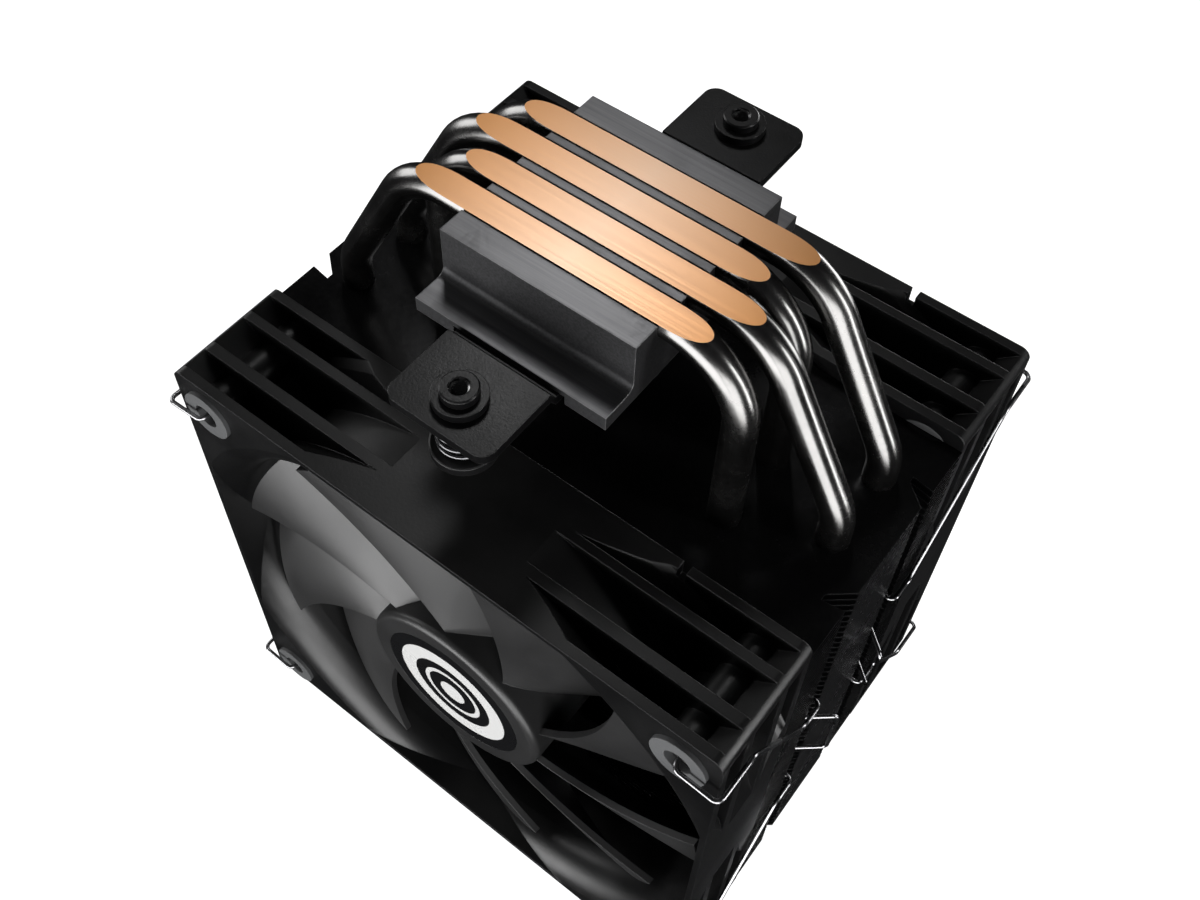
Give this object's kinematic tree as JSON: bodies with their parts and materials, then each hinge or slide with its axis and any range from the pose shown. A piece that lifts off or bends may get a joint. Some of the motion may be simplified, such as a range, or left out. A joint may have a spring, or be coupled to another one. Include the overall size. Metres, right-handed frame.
{
  "type": "cpu tower cooler",
  "caption": "Dual-fan tower cooler standing base up: milled contact block, bent heat pipes through a stack of thin fins, sprung mounting crossbar, fans held by wire clips.",
  "frame": {"origin": "centre of the milled face that presses on the chip", "axes": "+Z out of the contact face, away from the fans; X across the fans' width; +Y the way the air flows, from the front fan to the rear fan"},
  "size_m": [0.1288, 0.1048, 0.1584],
  "materials": {
    "base_metal": "satin, drawn and milled",
    "pipe_copper": "black nickel plated copper, milled bright where it meets the chip",
    "bracket": "satin black plating",
    "screw_steel": "satin",
    "fins": "black nickel plated sheet, glossy folded edges",
    "blade_plastic": "satin moulded plastic",
    "badge": "glossy printed film with a light disc",
    "rotor_steel": "pressed steel",
    "magnet": "bonded ferrite",
    "nylon": "natural nylon",
    "frame_plastic": "satin black moulded plastic",
    "bearing_bronze": "sintered bronze",
    "coil_copper": "enamelled copper wire",
    "board": "green solder mask",
    "label_paper": "plain dark film",
    "pad_rubber": "light grey soft rubber",
    "ring_steel": "black nickel plated steel",
    "spring_steel": "bright spring wire",
    "clip_steel": "bright spring wire"
  },
  "bodies": {
    "tower": {"base_block": "base_metal", "heat_pipe_1": "pipe_copper", "heat_pipe_2": "pipe_copper", "heat_pipe_3": "pipe_copper", "heat_pipe_4": "pipe_copper", "crossbar": "bracket", "crossbar_screws": "screw_steel", "fin_stack": "fins", "end_cover": "fins", "front_frame": "frame_plastic", "front_bearing": "bearing_bronze", "front_stator_core": "rotor_steel", "front_stator_coils": "coil_copper", "front_circuit_board": "board", "front_label": "label_paper", "front_corner_pads": "pad_rubber", "front_nut_spring": "spring_steel", "rear_frame": "frame_plastic", "rear_bearing": "bearing_bronze", "rear_stator_core": "rotor_steel", "rear_stator_coils": "coil_copper", "rear_circuit_board": "board", "rear_label": "label_paper", "rear_corner_pads": "pad_rubber", "rear_nut_spring": "spring_steel"},
    "front_rotor": {"front_impeller": "blade_plastic", "front_hub_badge": "badge", "front_rotor_ring": "rotor_steel", "front_magnet": "magnet", "front_shaft": "screw_steel", "front_shaft_clip": "nylon"},
    "front_ring": {"front_stop_ring": "ring_steel"},
    "front_nut": {"front_nut": "bracket"},
    "front_right_wire": {"front_right_clip": "clip_steel"},
    "front_left_wire": {"front_left_clip": "clip_steel"},
    "rear_rotor": {"rear_impeller": "blade_plastic", "rear_hub_badge": "badge", "rear_rotor_ring": "rotor_steel", "rear_magnet": "magnet", "rear_shaft": "screw_steel", "rear_shaft_clip": "nylon"},
    "rear_ring": {"rear_stop_ring": "ring_steel"},
    "rear_nut": {"rear_nut": "bracket"},
    "rear_right_wire": {"rear_right_clip": "clip_steel"},
    "rear_left_wire": {"rear_left_clip": "clip_steel"}
  },
  "joints": [
    {"name": "front_fan_spin", "type": "hinge", "parent": "tower", "child": "front_rotor", "pos_m": [0, -0.0375, -0.0984], "axis": [0, -1, 0], "continuous": true},
    {"name": "front_nut_press", "type": "slide", "parent": "tower", "child": "front_ring", "axis": [0, 0, 1], "range_m": [0, 0.003], "stiffness_N_per_m": 300, "springref_m": -0.004, "deforming": ["front_nut_spring"]},
    {"name": "front_nut_turn", "type": "hinge", "parent": "front_ring", "child": "front_nut", "pos_m": [0, -0.0378, -0.0094], "axis": [0, 0, 1], "continuous": true},
    {"name": "front_right_clip_swing", "type": "hinge", "parent": "tower", "child": "front_right_wire", "pos_m": [0.0525, -0.052, -0.0984], "axis": [0, 0, -1], "range_deg": [0, 15], "stiffness_Nm_per_rad": 0.02, "springref_deg": -5.73},
    {"name": "front_left_clip_swing", "type": "hinge", "parent": "tower", "child": "front_left_wire", "pos_m": [-0.0525, -0.052, -0.0984], "axis": [0, 0, 1], "range_deg": [0, 15], "stiffness_Nm_per_rad": 0.02, "springref_deg": -5.73},
    {"name": "rear_fan_spin", "type": "hinge", "parent": "tower", "child": "rear_rotor", "pos_m": [0, 0.0375, -0.0984], "axis": [0, -1, 0], "continuous": true},
    {"name": "rear_nut_press", "type": "slide", "parent": "tower", "child": "rear_ring", "axis": [0, 0, 1], "range_m": [0, 0.003], "stiffness_N_per_m": 300, "springref_m": -0.004, "deforming": ["rear_nut_spring"]},
    {"name": "rear_nut_turn", "type": "hinge", "parent": "rear_ring", "child": "rear_nut", "pos_m": [0, 0.0378, -0.0094], "axis": [0, 0, 1], "continuous": true},
    {"name": "rear_right_clip_swing", "type": "hinge", "parent": "tower", "child": "rear_right_wire", "pos_m": [0.0525, 0.052, -0.0984], "axis": [0, 0, 1], "range_deg": [0, 15], "stiffness_Nm_per_rad": 0.02, "springref_deg": -5.73},
    {"name": "rear_left_clip_swing", "type": "hinge", "parent": "tower", "child": "rear_left_wire", "pos_m": [-0.0525, 0.052, -0.0984], "axis": [0, 0, -1], "range_deg": [0, 15], "stiffness_Nm_per_rad": 0.02, "springref_deg": -5.73}
  ]
}
